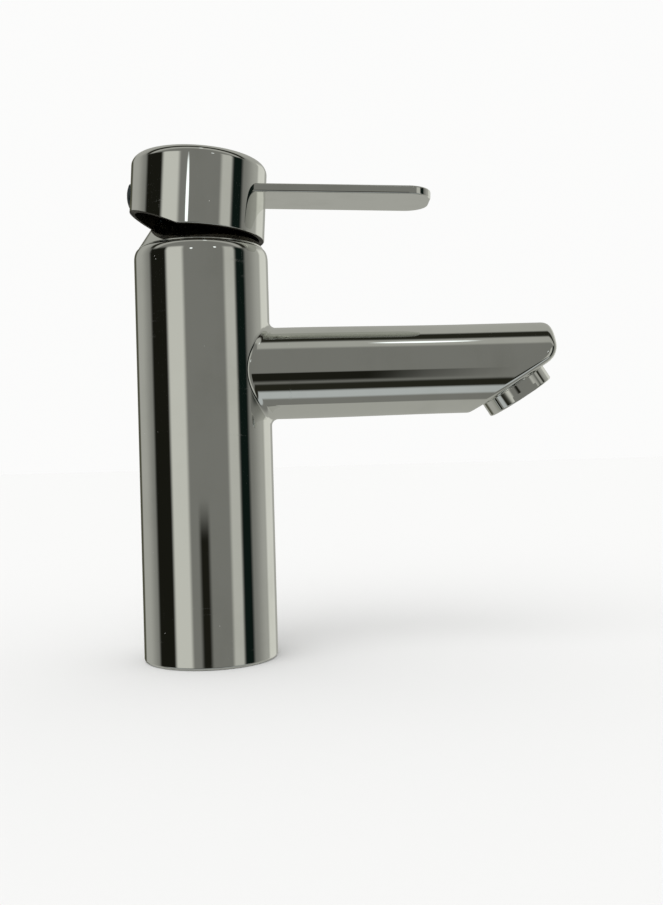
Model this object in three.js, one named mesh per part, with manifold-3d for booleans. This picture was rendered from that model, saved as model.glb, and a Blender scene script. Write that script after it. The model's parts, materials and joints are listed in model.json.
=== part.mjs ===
// Single-lever basin mixer: body and spout in one casting, a ceramic disc cartridge, a tilted
// lever handle and a screw-in aerator. Millimetres, +Z up, +X along the spout.
// The origin is the centre of the underside, on the face that stands on the basin.
import * as THREE from 'three';
import { mergeVertices } from 'three/addons/utils/BufferGeometryUtils.js';
import Module from 'manifold-3d';

const wasm = await Module();
wasm.setup();

const degree = Math.PI / 180;

// Clearances
const gap = 0.3; // between two pieces that seat, screw or slide on each other
const overrun = 1; // how far a cutting shape runs past the face it opens

// Facets round a full turn
const largeFacets = 56;
const mediumFacets = 32;
const roundFacets = 44;
const smallFacets = 24;
const tinyFacets = 16;
const ringFacets = 28;

// Body casting
const bodyRadius = 22.5;
const bodyHeight = 137.2;
const baseRound = 0.9;
const shoulderInset = 1.3; // the top edge is this much narrower than the side
const shoulderDrop = 3.4; // where the shoulder's rounding starts, below the top
const castWall = 3.2;
const floorThickness = 12;
const seatThickness = 5.5; // plate under the cartridge
const bodyWallAtCartridge = 4.7;
const topRimWall = 2; // wall round the nut's thread, at the narrow top edge

// Spout
const spoutReach = 117.6; // from the body's axis to the nose
const spoutDraft = 0.5; // the root's radius, over the tip's
const spoutWall = 4.7;
const waterwayCover = 0.3; // the waterway's top, below the plate under the cartridge
const spoutFillet = 2.2; // where the spout leaves the body
const noseRound = 3.6;
const noseFootRound = 6.9; // where the nose turns into the underside cut
const cutAngle = 32; // the underside cut, from horizontal
const outletSetback = 12.95; // from the nose back to the centre of the outlet face
const outletDrop = 5.7; // centre of the outlet face, below the spout's axis
const outletWall = 2.375; // left beside the aerator's thread, in the cut face

// Underside
const inletBore = 9; // tapped hole for an M10 hose end
const inletPassage = 7.2;
const inletBackset = 4; // the two inlets stand this far behind the axis
const inletSpacing = 17;
const tubeWall = 1.9;
const studBore = 6.8; // tapped hole for an M8 fixing stud
const studForeset = 11.5;
const studDepth = 10;
const sealWidth = 2.4;
const sealThickness = 2;
const sealEdge = 1.9; // land between the seal's groove and the outside of the body

// Cartridge, from its seat upwards
const cartridgeHeight = 22.2;
const baseFlange = 2.2;
const baseThickness = 3.9;
const housingWall = 1.5;
const housingFlange = 1.9;
const portSealThickness = 1.4;
const portSealWidth = 1.5;
const inletPort = 6.4;
const outletPort = 8.4;
const outletForeset = 7.5;
const locatingPin = 3.2;
const locatingPinLength = 1.5;
const gasketThickness = 0.9;
const gasketRadius = 13.6;
const discThickness = 3.5;
const discOffset = -2.2; // the moving disc sits behind the axis while the tap is shut
const movingDiscRadius = 12.4;
const mixingPocketDepth = 1.8;
const mixingPocketRadius = 8.4;
const carrierThickness = 4.6;
const carrierSpigot = 9;
const carrierSpigotLength = 0.8;
const pocketFloor = 0.8; // left under the stem's ball in the carrier
const railWidth = 2;
const railHeight = 1.2;
const railSpacing = 16;
const neckWall = 1.25; // between the stem's slot and the O-ring's groove
const neckRise = 4.5; // top of the rotor, above the pivot
const oringSection = 1.1;
const oringDepth = 1.4; // depth of its groove in the neck

// Nut and bonnet
const nutThreadLength = 2.2;
const nutRise = 4.3; // part of the nut above the body
const nutMargin = 2.2; // the nut's bore, over the rotor's neck
const notchWidth = 4;
const notchDepth = 1.8;
const notchCount = 4;
const bonnetConeAngle = 33; // from the axis
const bonnetHeight = 10.7;
const bonnetMargin = 1.95; // the bonnet's hole, over the reach of the leaning stem
const bonnetRim = 1.9; // flat rim round its hole
const bonnetWall = 1.6;
const bonnetSkirt = 4.4; // the bonnet's foot, from its outside to the nut's upper thread
const bonnetRingSection = 1.4;

// Lever stem and its pivot
const pivotRise = 2.5; // pivot above the cartridge housing
const stemSquare = 8;
const stemTop = 24.5; // above the pivot
const stemShoulder = 3.4; // the square runs this far below the pivot
const fingerRadius = 1.9;
const ballRadius = 2.2;
const ballClearance = 0.35; // between the stem's ball and the disc carrier's pocket
const pinRadius = 1.5;
const leverTilt = 3.65; // the handle leans this far forward when the tap is shut
const leverLift = 25; // how far it lifts to full flow

// Handle: cap and lever blade. Heights are along the stem, from the pivot.
const capOverhang = 0.3; // the cap is this much larger than the body
const capSetback = 1.62; // the cap's axis, behind the stem's
const capTop = 30.66;
const capRim = 5;
const capWall = 1.8;
const capCeiling = 4.2;
const capTopRound = 3.2;
const reliefAngle = 20.5; // the rim rises to the back, to clear the body as the lever lifts
const reliefStart = 3.5; // behind the cap's axis
const bossWall = 2.9; // round the corners of the stem's socket
const bossFootWall = 0.52;
const bossClearance = 0.74; // boss to bonnet at full lift
const bossTaper = 2.6;
const bladeWidth = 23;
const bladeThickness = 2.9;
const bladeReach = 76.9; // from the stem's axis to the tip
const bladeRise = 1.41; // degrees, against the cap's own top
const bladeLevel = 19.7;
const bladeCorner = 8;
const screwLevel = 18.4;
const screwRadius = 2.5;
const screwLength = 8;
const keyAcrossFlats = 2.5;
const keyDepth = 3;
const plugRadius = 4.2;
const plugShank = 2.6;
const plugShankLength = 2.4;
const plugSeatDepth = 0.8; // the plug's counterbore, below the cap's surface
const plugDome = 1.1;

// Aerator. Depths are along its own axis, from the outlet face.
const collarStep = 0.7; // the collar's radius, over the thread's
const aeratorCollar = 5;
const flatDepth = 0.9;
const flatHeight = 2;
const aeratorThreadRadius = 11.2;
const aeratorThreadLength = 7.5;
const aeratorWall = 1.6;
const aeratorLip = 0.9; // width and height of the lip that holds the insert
const cupWall = 1;
const screenThickness = 1;
const screenPitch = 2.6;
const screenBar = 0.6;
const jetThickness = 1.2;
const jetCount = 12;
const jetRadius = 0.6;
const aeratorGasket = 1.7;
const outletPocketDepth = 4.2; // beyond the gasket's seat, into the waterway

// ---- Values that follow from the ones above ----

const capRadius = bodyRadius + capOverhang;
const cartridgeRadius = bodyRadius - bodyWallAtCartridge - gap;
const cartridgeBore = cartridgeRadius + gap;
const topEdgeRadius = bodyRadius - shoulderInset;
const threadBore = topEdgeRadius - topRimWall;
const nutTopRadius = topEdgeRadius - bonnetSkirt - gap;

const housingTop = bodyHeight - nutThreadLength - gap - 0.2;
const seatLevel = housingTop - cartridgeHeight - gap;
const chamberTop = seatLevel - seatThickness;
const aeratorRadius = aeratorThreadRadius + collarStep;
const spoutTipRadius = Math.hypot(outletDrop, aeratorThreadRadius + gap + outletWall);
const spoutRootRadius = spoutTipRadius + spoutDraft;
const waterwayRadius = spoutRootRadius - spoutWall;
const spoutAxis = chamberTop - waterwayCover - waterwayRadius;
const baseBottom = seatLevel + gap;
const baseTop = baseBottom + baseThickness;
const gasketBottom = baseTop - gasketThickness;
const fixedDiscBottom = baseTop + gap;
const movingDiscBottom = fixedDiscBottom + discThickness + gap;
const carrierBottom = movingDiscBottom + discThickness + gap;
const carrierTop = carrierBottom + carrierThickness;
const rotorBottom = carrierTop + gap;
const rotorFlangeTop = housingTop - housingFlange - gap;
const pivotLevel = housingTop + pivotRise;
const rotorTop = pivotLevel + neckRise;
const nutBottom = housingTop + gap;
const nutTop = bodyHeight + nutRise;
const bonnetBottom = bodyHeight + gap;
const bonnetTop = bonnetBottom + bonnetHeight;
const housingBottom = baseBottom + baseFlange + gap;
const housingInner = cartridgeRadius - housingWall;

// How far the square stem and its finger reach sideways at full lift
const mostLean = (leverLift - leverTilt) * degree;
const leanReach = (level, half) => Math.abs(level) * Math.tan(mostLean) + half / Math.cos(mostLean);
const slotHalfWidth = stemSquare / 2 + gap;
const slotHalfLength = gap + 0.1 + Math.max(
  leanReach(neckRise, stemSquare / 2), leanReach(pivotLevel - rotorBottom, fingerRadius));
const neckRadius = Math.hypot(slotHalfLength, slotHalfWidth) + neckWall + oringDepth;
const bonnetHoleRadius = bonnetMargin + Math.hypot(
  leanReach(bonnetTop - pivotLevel, stemSquare / 2), stemSquare / 2);
const bonnetTopRadius = bonnetHoleRadius + bonnetRim;
const fingerLength = pivotLevel - (carrierBottom + pocketFloor + gap + ballRadius);
const socketHalf = stemSquare / 2 + gap;
const bossRadius = socketHalf * Math.SQRT2 + bossWall;
const bossFootRadius = socketHalf * Math.SQRT2 + bossFootWall;
const footRise = bonnetTop - pivotLevel + bossClearance + bossFootRadius * Math.sin(mostLean);
const bossFoot = footRise / Math.cos(mostLean);

const inlets = { cold: -inletSpacing / 2, hot: inletSpacing / 2 };
const discPorts = [
  { x: -inletBackset, y: inlets.cold, radius: inletPort / 2 },
  { x: -inletBackset, y: inlets.hot, radius: inletPort / 2 },
  { x: outletForeset, y: 0, radius: outletPort / 2 },
];
const locatingPins = [-1, 1].map((side) => ({ x: outletForeset - 3, y: side * (cartridgeRadius - 3.5) }));

// ---- Shapes ----

// A closed geometry as a solid. Vertices are merged, and triangles without area left out.
function solidOf(geometry) {
  const bare = geometry.clone();
  bare.deleteAttribute('normal');
  bare.deleteAttribute('uv');
  const merged = mergeVertices(bare, 1e-4);
  const corners = [];
  for (let i = 0; i < merged.index.count; i += 3) {
    const [a, b, c] = [0, 1, 2].map((k) => merged.index.getX(i + k));
    if (a !== b && b !== c && c !== a) corners.push([a, b, c]);
  }
  const vertProperties = new Float32Array(merged.attributes.position.array);
  const build = (list) => {
    const triVerts = new Uint32Array(list.flat());
    return new wasm.Manifold(new wasm.Mesh({ numProp: 3, vertProperties, triVerts }));
  };
  const made = build(corners);
  return made.volume() > 0 ? made : build(corners.map(([a, b, c]) => [a, c, b]));
}

function geometryOf(solid) {
  const mesh = solid.getMesh();
  const geometry = new THREE.BufferGeometry();
  geometry.setAttribute('position', new THREE.BufferAttribute(mesh.vertProperties, 3));
  geometry.setIndex(new THREE.BufferAttribute(mesh.triVerts, 1));
  geometry.computeVertexNormals();
  return geometry;
}

// A turned piece about Z. The profile is a list of [radius, height], closed by itself or on the axis.
function turned(profile, segments = mediumFacets) {
  const points = profile.map(([radius, height]) => new THREE.Vector2(radius < 1e-9 ? 0 : radius, height));
  const onAxis = points[0].x === 0 && points.at(-1).x === 0;
  if (!onAxis) points.push(points[0].clone());
  const geometry = new THREE.LatheGeometry(points, segments);
  geometry.rotateX(Math.PI / 2);
  return solidOf(geometry);
}

function rod(radius, low, high, { x = 0, y = 0, segments = smallFacets } = {}) {
  const profile = [[0, low], [radius, low], [radius, high], [0, high]];
  return moved(turned(profile, segments), x, y, 0);
}

function ring(inner, outer, low, high, { x = 0, y = 0, segments = mediumFacets } = {}) {
  const profile = [[inner, low], [outer, low], [outer, high], [inner, high]];
  return moved(turned(profile, segments), x, y, 0);
}

// A ring of round section, such as an O-ring, about Z.
function roundRing(radius, section, level) {
  const steps = 6;
  const profile = [];
  for (let i = 0; i < steps; i += 1) {
    const angle = (i / steps) * 2 * Math.PI;
    profile.push([radius + (section / 2) * Math.cos(angle), level + (section / 2) * Math.sin(angle)]);
  }
  return turned(profile, ringFacets);
}

function block(x0, x1, y0, y1, z0, z1) {
  const geometry = new THREE.BoxGeometry(x1 - x0, y1 - y0, z1 - z0);
  geometry.translate((x0 + x1) / 2, (y0 + y1) / 2, (z0 + z1) / 2);
  return solidOf(geometry);
}

function moved(solid, x, y, z) {
  return x || y || z ? placed(solid, new THREE.Matrix4().makeTranslation(x, y, z)) : solid;
}

function placed(solid, matrix) {
  return solidOf(geometryOf(solid).applyMatrix4(matrix));
}

// Turned from the Z axis to the X axis.
function alongX(solid) {
  return placed(solid, new THREE.Matrix4().makeRotationY(Math.PI / 2));
}

// Turned from the Z axis to the Y axis.
function alongY(solid) {
  return placed(solid, new THREE.Matrix4().makeRotationX(-Math.PI / 2));
}

function join(solids) {
  return solids.reduce((whole, piece) => whole.add(piece));
}

// Points of an arc in a profile, from one angle to another, both in degrees.
function arc(centreR, centreZ, radiusR, radiusZ, from, to, steps) {
  const points = [];
  for (let i = 0; i <= steps; i += 1) {
    const angle = (from + ((to - from) * i) / steps) * degree;
    points.push([centreR + radiusR * Math.cos(angle), centreZ + radiusZ * Math.sin(angle)]);
  }
  return points;
}

const group = new THREE.Group();

function addMesh(name, solid, { colour, roughness, metalness }, parent = group) {
  const material = new THREE.MeshStandardMaterial({ color: colour, roughness, metalness });
  const mesh = new THREE.Mesh(geometryOf(solid), material);
  mesh.name = name;
  parent.add(mesh);
}

const chrome = { colour: 0xb4b6ac, roughness: 0.06, metalness: 1 };
const brass = { colour: 0xb99a55, roughness: 0.35, metalness: 1 };
const steel = { colour: 0x9a9c9e, roughness: 0.3, metalness: 1 };
const rubber = { colour: 0x1b1c1d, roughness: 0.8, metalness: 0 };
const whitePlastic = { colour: 0xdcdad2, roughness: 0.5, metalness: 0 };
const greyPlastic = { colour: 0x6d7174, roughness: 0.5, metalness: 0 };
const ceramic = { colour: 0xf0eee8, roughness: 0.15, metalness: 0 };
const darkPlastic = { colour: 0x141a1a, roughness: 0.25, metalness: 0 };

// ---- Body casting ----

// The aerator's own frame: its +Z runs up into the spout from the outlet face.
const outletFrame = new THREE.Group();
outletFrame.position.set(spoutReach - outletSetback, 0, spoutAxis - outletDrop);
outletFrame.rotation.y = -cutAngle * degree;
outletFrame.updateMatrix();
group.add(outletFrame);

// The concave fillet between two crossing cylinders: a ball rolled along the corner.
function castFillet() {
  const around = 44;
  const across = 3;
  const sink = 0.6; // how far the strip's hidden corner lies inside both cylinders
  const edgeSink = 0.05; // and its two edges
  const bodyReach = bodyRadius + spoutFillet;
  const spoutCentre = spoutRootRadius + spoutFillet;
  const positions = [];
  const index = [];
  for (let i = 0; i < around; i += 1) {
    const angle = (i / around) * 2 * Math.PI;
    const y = spoutCentre * Math.cos(angle);
    const z = spoutAxis + spoutCentre * Math.sin(angle);
    const centre = new THREE.Vector3(Math.sqrt(bodyReach * bodyReach - y * y), y, z);
    const toBody = new THREE.Vector3(-centre.x, -y, 0).normalize();
    const toSpout = new THREE.Vector3(0, -y, spoutAxis - z).normalize();
    const spread = toBody.angleTo(toSpout);
    for (let k = 0; k <= across; k += 1) {
      const share = k / across;
      const fromBody = Math.sin((1 - share) * spread) / Math.sin(spread);
      const fromSpout = Math.sin(share * spread) / Math.sin(spread);
      const way = toBody.clone().multiplyScalar(fromBody).addScaledVector(toSpout, fromSpout);
      const touch = k === 0 || k === across ? spoutFillet + edgeSink : spoutFillet;
      positions.push(...centre.clone().addScaledVector(way, touch));
    }
    const corner = toBody.clone().add(toSpout).multiplyScalar(spoutFillet + sink);
    positions.push(...centre.clone().add(corner));
  }
  const row = across + 2;
  for (let i = 0; i < around; i += 1) {
    for (let k = 0; k < row; k += 1) {
      const here = i * row;
      const next = ((i + 1) % around) * row;
      const up = (k + 1) % row;
      index.push(here + k, next + k, next + up, here + k, next + up, here + up);
    }
  }
  const geometry = new THREE.BufferGeometry();
  geometry.setAttribute('position', new THREE.Float32BufferAttribute(positions, 3));
  geometry.setIndex(index);
  return solidOf(geometry);
}

function spoutSolid() {
  const tube = new THREE.CylinderGeometry(spoutTipRadius, spoutRootRadius, spoutReach, roundFacets);
  tube.translate(0, spoutReach / 2, 0);
  tube.rotateZ(-Math.PI / 2);
  tube.translate(0, 0, spoutAxis);
  const top = spoutAxis + spoutTipRadius;
  const margin = spoutRootRadius + 5;
  const slope = Math.tan(cutAngle * degree);
  const outletX = outletFrame.position.x;
  const outletZ = outletFrame.position.z;
  const low = spoutAxis - margin;
  const noseFoot = outletZ + outletSetback * slope;
  const side = new THREE.Shape();
  side.moveTo(-margin, low);
  side.lineTo(outletX - (outletZ - low) / slope, low);
  const footTurn = (90 - cutAngle) * degree;
  const footZ = noseFoot + noseFootRound * Math.tan(footTurn / 2);
  side.absarc(spoutReach - noseFootRound, footZ, noseFootRound, -footTurn, 0, false);
  side.lineTo(spoutReach, top - noseRound);
  side.absarc(spoutReach - noseRound, top - noseRound, noseRound, 0, Math.PI / 2, false);
  side.lineTo(spoutReach - noseRound, top + margin);
  side.lineTo(-margin, top + margin);
  const depth = 2 * margin;
  const slab = new THREE.ExtrudeGeometry(side, { depth, bevelEnabled: false, curveSegments: 6 });
  slab.rotateX(Math.PI / 2);
  slab.translate(0, depth / 2, 0);
  return solidOf(tube).intersect(solidOf(slab));
}

function bodySolid() {
  const shoulder = arc(topEdgeRadius, bodyHeight - shoulderDrop, shoulderInset, shoulderDrop, 0, 90, 4);
  const base = arc(bodyRadius - baseRound, baseRound, baseRound, baseRound, -90, 0, 2);
  const column = turned([[0, 0], ...base, ...shoulder, [0, bodyHeight]], largeFacets);
  const outside = join([column, spoutSolid(), castFillet()]);

  const passages = Object.values(inlets).map((y) => ({ x: -inletBackset, y }));
  const tubes = passages.map((at) => rod(inletPassage / 2 + tubeWall, 0, seatLevel, at));
  const chamber = rod(bodyRadius - castWall, floorThickness, chamberTop, { segments: mediumFacets });
  const waterwayEnd = outletFrame.position.x - outletPocketDepth - aeratorThreadLength;
  const waterwayStart = bodyRadius - castWall - 5;
  const waterway = moved(alongX(rod(waterwayRadius, waterwayStart, waterwayEnd)), 0, 0, spoutAxis);

  const boreDepth = aeratorThreadLength + gap + aeratorGasket + gap;
  const outletMouth = -overrun - noseRound;
  const outletBore = rod(aeratorThreadRadius + gap, outletMouth, boreDepth, { segments: mediumFacets });
  const outletPocket = rod(aeratorThreadRadius - 1.7, 0, boreDepth + outletPocketDepth);
  const outlet = placed(join([outletBore, outletPocket]), outletFrame.matrix);

  const bore = rod(cartridgeBore, seatLevel, bodyHeight + overrun, { segments: mediumFacets });
  const threadLow = nutBottom - gap - 3;
  const thread = rod(threadBore, threadLow, bodyHeight + overrun, { segments: mediumFacets });
  const sealOuter = bodyRadius - sealEdge + gap / 2;
  const groove = ring(sealOuter - sealWidth - 2 * gap, sealOuter, -overrun, sealThickness + gap);
  const cuts = [chamber.subtract(join(tubes)), waterway, outlet, bore, thread, groove];
  for (const at of passages) {
    cuts.push(rod(inletPassage / 2, -overrun, seatLevel + overrun, at));
    cuts.push(rod(inletBore / 2, -overrun, floorThickness, at));
  }
  cuts.push(rod(outletPort / 2, chamberTop - overrun, seatLevel + overrun, { x: outletForeset }));
  cuts.push(rod(studBore / 2, -overrun, studDepth, { x: studForeset }));
  for (const at of locatingPins) {
    const depth = seatLevel + gap - locatingPinLength - gap;
    cuts.push(rod(locatingPin / 2 + gap, depth, seatLevel + overrun, { ...at, segments: tinyFacets }));
  }
  return outside.subtract(join(cuts));
}

addMesh('body', bodySolid(), chrome);

const sealOutside = bodyRadius - sealEdge - gap / 2;
addMesh('base_seal', ring(sealOutside - sealWidth, sealOutside, 0, sealThickness), rubber);

// ---- Cartridge ----

function withPorts(solid, low, high) {
  const holes = discPorts.map(({ x, y, radius }) => rod(radius, low, high, { x, y }));
  return solid.subtract(join(holes));
}

function cartridgeBase() {
  const flange = rod(cartridgeRadius, baseBottom, baseBottom + baseFlange, { segments: mediumFacets });
  const spigot = rod(housingInner - gap, baseBottom, baseTop, { segments: mediumFacets });
  const pins = locatingPins.map((at) =>
    rod(locatingPin / 2, baseBottom - locatingPinLength, baseBottom + 1, { ...at, segments: tinyFacets }));
  const sealDepth = portSealThickness + gap;
  const recesses = discPorts.map(({ x, y, radius }) =>
    rod(radius + portSealWidth + gap, baseBottom - overrun, baseBottom + sealDepth, { x, y }));
  const gasketRecess = rod(gasketRadius + gap, gasketBottom - gap, baseTop + overrun);
  const whole = join([flange, spigot, ...pins]).subtract(join([...recesses, gasketRecess]));
  return withPorts(whole, baseBottom - overrun, baseTop + overrun);
}
addMesh('cartridge_base', cartridgeBase(), greyPlastic);

['cold_port_seal', 'hot_port_seal', 'outlet_port_seal'].forEach((name, i) => {
  const { x, y, radius } = discPorts[i];
  const at = { x, y, segments: smallFacets };
  const seal = ring(radius, radius + portSealWidth, baseBottom, baseBottom + portSealThickness, at);
  addMesh(name, seal, rubber);
});

const gasketPlate = rod(gasketRadius, gasketBottom, baseTop);
addMesh('disc_gasket', withPorts(gasketPlate, gasketBottom - overrun, baseTop + overrun), rubber);

const fixedDiscTop = fixedDiscBottom + discThickness;
const fixedDisc = rod(housingInner - gap, fixedDiscBottom, fixedDiscTop, { segments: mediumFacets });
addMesh('fixed_disc', withPorts(fixedDisc, fixedDiscBottom - overrun, fixedDiscTop + overrun), ceramic);

function movingDisc() {
  const top = movingDiscBottom + discThickness;
  const x = discOffset;
  const plate = rod(movingDiscRadius, movingDiscBottom, top, { x, segments: mediumFacets });
  const mixingPocketTop = movingDiscBottom + mixingPocketDepth;
  const mixingPocket = rod(mixingPocketRadius, movingDiscBottom - overrun, mixingPocketTop, { x });
  const socketFloor = top - carrierSpigotLength - gap;
  const socket = rod(carrierSpigot / 2 + gap, socketFloor, top + overrun, { x });
  return plate.subtract(join([mixingPocket, socket]));
}
addMesh('moving_disc', movingDisc(), ceramic);

// The stem's ball at rest: the stem leans forward, so its lower end stands behind the pivot.
const ballX = -fingerLength * Math.sin(leverTilt * degree);

function discCarrier() {
  const x = discOffset;
  const plate = rod(movingDiscRadius - 0.2, carrierBottom, carrierTop, { x, segments: mediumFacets });
  const spigotFoot = carrierBottom - carrierSpigotLength;
  const spigot = rod(carrierSpigot / 2, spigotFoot, carrierBottom + 1, { x });
  const side = ballRadius + ballClearance;
  const pocket = block(
    ballX - side, ballX + side, -side, side, carrierBottom + pocketFloor, carrierTop + overrun);
  const reach = movingDiscRadius + overrun;
  const grooves = [-1, 1].map((sign) => {
    const half = railWidth / 2 + gap;
    const centre = (sign * railSpacing) / 2;
    const floor = carrierTop + gap - railHeight - 2 * gap;
    return block(x - reach, x + reach, centre - half, centre + half, floor, carrierTop + overrun);
  });
  return join([plate, spigot]).subtract(join([pocket, ...grooves]));
}
addMesh('disc_carrier', discCarrier(), whitePlastic);

const rotorOringRadius = neckRadius - oringDepth + 0.2 + oringSection / 2;

function rotorSolid() {
  const grooveLow = rotorFlangeTop + 0.6;
  const grooveHigh = grooveLow + oringSection + gap;
  const grooveRadius = neckRadius - oringDepth;
  const body = turned([
    [0, rotorBottom], [housingInner - gap - 0.1, rotorBottom], [housingInner - gap - 0.1, rotorFlangeTop],
    [neckRadius, rotorFlangeTop], [neckRadius, grooveLow], [grooveRadius, grooveLow],
    [grooveRadius, grooveHigh], [neckRadius, grooveHigh], [neckRadius, rotorTop - 0.5],
    [neckRadius - 0.5, rotorTop], [0, rotorTop]]);
  const rails = [-1, 1].map((sign) => {
    const centre = (sign * railSpacing) / 2;
    const low = rotorBottom - railHeight;
    return block(-7, 7, centre - railWidth / 2, centre + railWidth / 2, low, rotorBottom + 1);
  });
  const slot = block(
    -slotHalfLength, slotHalfLength, -slotHalfWidth, slotHalfWidth,
    rotorBottom - overrun, rotorTop + overrun);
  const crossHole = alongY(rod(pinRadius + gap, -neckRadius - 2, neckRadius + 2, { segments: tinyFacets }));
  const pinHole = moved(crossHole, 0, 0, pivotLevel);
  return join([body, ...rails]).subtract(join([slot, pinHole]));
}
addMesh('rotor', rotorSolid(), whitePlastic);

const rotorOringLevel = rotorFlangeTop + 0.6 + (oringSection + gap) / 2;
addMesh('rotor_oring', roundRing(rotorOringRadius, oringSection, rotorOringLevel), rubber);

const pinHalf = neckRadius - 0.8;
const pin = moved(alongY(rod(pinRadius, -pinHalf, pinHalf, { segments: tinyFacets })), 0, 0, pivotLevel);
addMesh('pivot_pin', pin, steel);

function cartridgeHousing() {
  const mouth = neckRadius + gap;
  return turned([
    [cartridgeRadius, housingBottom], [cartridgeRadius, housingTop], [mouth, housingTop],
    [mouth, housingTop - housingFlange], [housingInner, housingTop - housingFlange],
    [housingInner, housingBottom]]);
}
addMesh('cartridge_housing', cartridgeHousing(), greyPlastic);

// ---- Nut and bonnet ----

function cartridgeNut() {
  const bore = neckRadius + nutMargin;
  const threadRadius = threadBore - gap;
  const threadTop = bodyHeight - 0.2;
  const whole = turned([
    [bore, nutBottom], [threadRadius, nutBottom], [threadRadius, threadTop],
    [nutTopRadius, threadTop], [nutTopRadius, nutTop], [bore, nutTop]]);
  const notches = [];
  for (let i = 0; i < notchCount; i += 1) {
    const reach = nutTopRadius + overrun;
    const notch = block(0, reach, -notchWidth / 2, notchWidth / 2, nutTop - notchDepth, nutTop + overrun);
    notches.push(placed(notch, new THREE.Matrix4().makeRotationZ((i / notchCount + 1 / 8) * 2 * Math.PI)));
  }
  return whole.subtract(join(notches));
}
addMesh('cartridge_nut', cartridgeNut(), brass);

function bonnetSolid() {
  const perRise = Math.tan(bonnetConeAngle * degree);
  const coneAt = (level) => topEdgeRadius - (level - bonnetBottom) * perRise;
  const shoulder = bonnetTop - 1.4;
  const skirt = nutTopRadius + gap;
  const skirtTop = nutTop + gap + 0.1;
  const innerTop = bonnetTop - bonnetWall - 0.3;
  const ceilingRadius = coneAt(innerTop) - bonnetWall / Math.cos(bonnetConeAngle * degree);
  return turned([
    [skirt, bonnetBottom], [topEdgeRadius, bonnetBottom], [coneAt(shoulder), shoulder],
    [coneAt(shoulder) - 0.9, bonnetTop - 0.5], [bonnetTopRadius, bonnetTop],
    [bonnetHoleRadius, bonnetTop], [bonnetHoleRadius, innerTop], [ceilingRadius, innerTop],
    [skirt, skirtTop]], roundFacets);
}
addMesh('bonnet', bonnetSolid(), chrome);

const bonnetRingRadius = nutTopRadius - 1.4;
const bonnetRingLevel = nutTop + gap + bonnetRingSection / 2;
addMesh('bonnet_oring', roundRing(bonnetRingRadius, bonnetRingSection, bonnetRingLevel), rubber);

// ---- Lever: stem, handle, set screw and plug, in a frame at the pivot that leans forward ----

const leverFrame = new THREE.Group();
leverFrame.position.set(0, 0, pivotLevel);
leverFrame.rotation.y = leverTilt * degree;
group.add(leverFrame);

function stemSolid() {
  const half = stemSquare / 2;
  const square = block(-half, half, -half, half, -stemShoulder, stemTop);
  const finger = rod(fingerRadius, -fingerLength, -stemShoulder + 1, { segments: tinyFacets });
  const ball = turned(arc(0, -fingerLength, ballRadius, ballRadius, -90, 90, 8), tinyFacets);
  const pinHole = alongY(rod(pinRadius + gap, -half - overrun, half + overrun, { segments: tinyFacets }));
  return join([square, finger, ball]).subtract(pinHole);
}
addMesh('stem', stemSolid(), steel, leverFrame);

const capBack = -capSetback - capRadius; // the cap's back, at the height of the screw
const plugSeat = capBack + plugSeatDepth;

function handleSolid() {
  const top = arc(capRadius - capTopRound, capTop - capTopRound, capTopRound, capTopRound, 0, 90, 5);
  const outer = turned([[0, capRim], [capRadius, capRim], ...top, [0, capTop]], largeFacets);
  const ceiling = capTop - capCeiling;
  const inner = turned([
    [0, capRim - overrun], [capRadius - capWall, capRim - overrun], [capRadius - capWall, ceiling - 2],
    [capRadius - capWall - 2, ceiling], [0, ceiling]]);

  const plan = new THREE.Shape();
  const half = bladeWidth / 2;
  const root = capRadius / 2;
  const end = bladeReach + capSetback;
  plan.moveTo(root, -half);
  plan.lineTo(end - bladeCorner, -half);
  plan.absarc(end - bladeCorner, -half + bladeCorner, bladeCorner, -Math.PI / 2, 0, false);
  plan.absarc(end - bladeCorner, half - bladeCorner, bladeCorner, 0, Math.PI / 2, false);
  plan.lineTo(root, half);
  const flat = { depth: bladeThickness, bevelEnabled: false, curveSegments: 6 };
  const slab = new THREE.ExtrudeGeometry(plan, flat);
  slab.translate(0, 0, -bladeThickness / 2);
  slab.rotateY(-bladeRise * degree);
  slab.translate(0, 0, bladeLevel);

  const relief = block(-4 * capRadius, 0, -2 * capRadius, 2 * capRadius, -2 * capRadius, 0);
  const tilt = new THREE.Matrix4().makeTranslation(-reliefStart, 0, capRim);
  tilt.multiply(new THREE.Matrix4().makeRotationY(reliefAngle * degree));
  const shell = join([outer, solidOf(slab)]).subtract(join([inner, placed(relief, tilt)]));
  const centred = moved(shell, -capSetback, 0, 0);

  const boss = turned([
    [0, bossFoot], [bossFootRadius, bossFoot], [bossRadius, bossFoot + bossTaper],
    [bossRadius, ceiling + 1], [0, ceiling + 1]]);
  const socket = block(-socketHalf, socketHalf, -socketHalf, socketHalf, bossFoot - overrun, stemTop + gap);
  const screwHole = alongX(rod(screwRadius + gap, capBack - overrun, 0, { segments: tinyFacets }));
  const counterbore = alongX(rod(plugRadius + gap, capBack - overrun, plugSeat));
  const drilled = moved(join([screwHole, counterbore]), 0, 0, screwLevel);
  return join([centred, boss]).subtract(join([socket, drilled]));
}
addMesh('handle', handleSolid(), chrome, leverFrame);

function setScrew() {
  const tip = -stemSquare / 2 - gap;
  const tail = tip - screwLength;
  const shank = alongX(turned([
    [0, tail], [screwRadius - 0.4, tail], [screwRadius, tail + 0.4], [screwRadius, tip - 0.8],
    [screwRadius - 0.8, tip], [0, tip]], tinyFacets));
  const keyRadius = keyAcrossFlats / 2 / Math.cos(Math.PI / 6);
  const key = alongX(rod(keyRadius, tail - overrun, tail + keyDepth, { segments: 6 }));
  return moved(shank.subtract(key), 0, 0, screwLevel);
}
addMesh('set_screw', setScrew(), steel, leverFrame);

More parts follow.
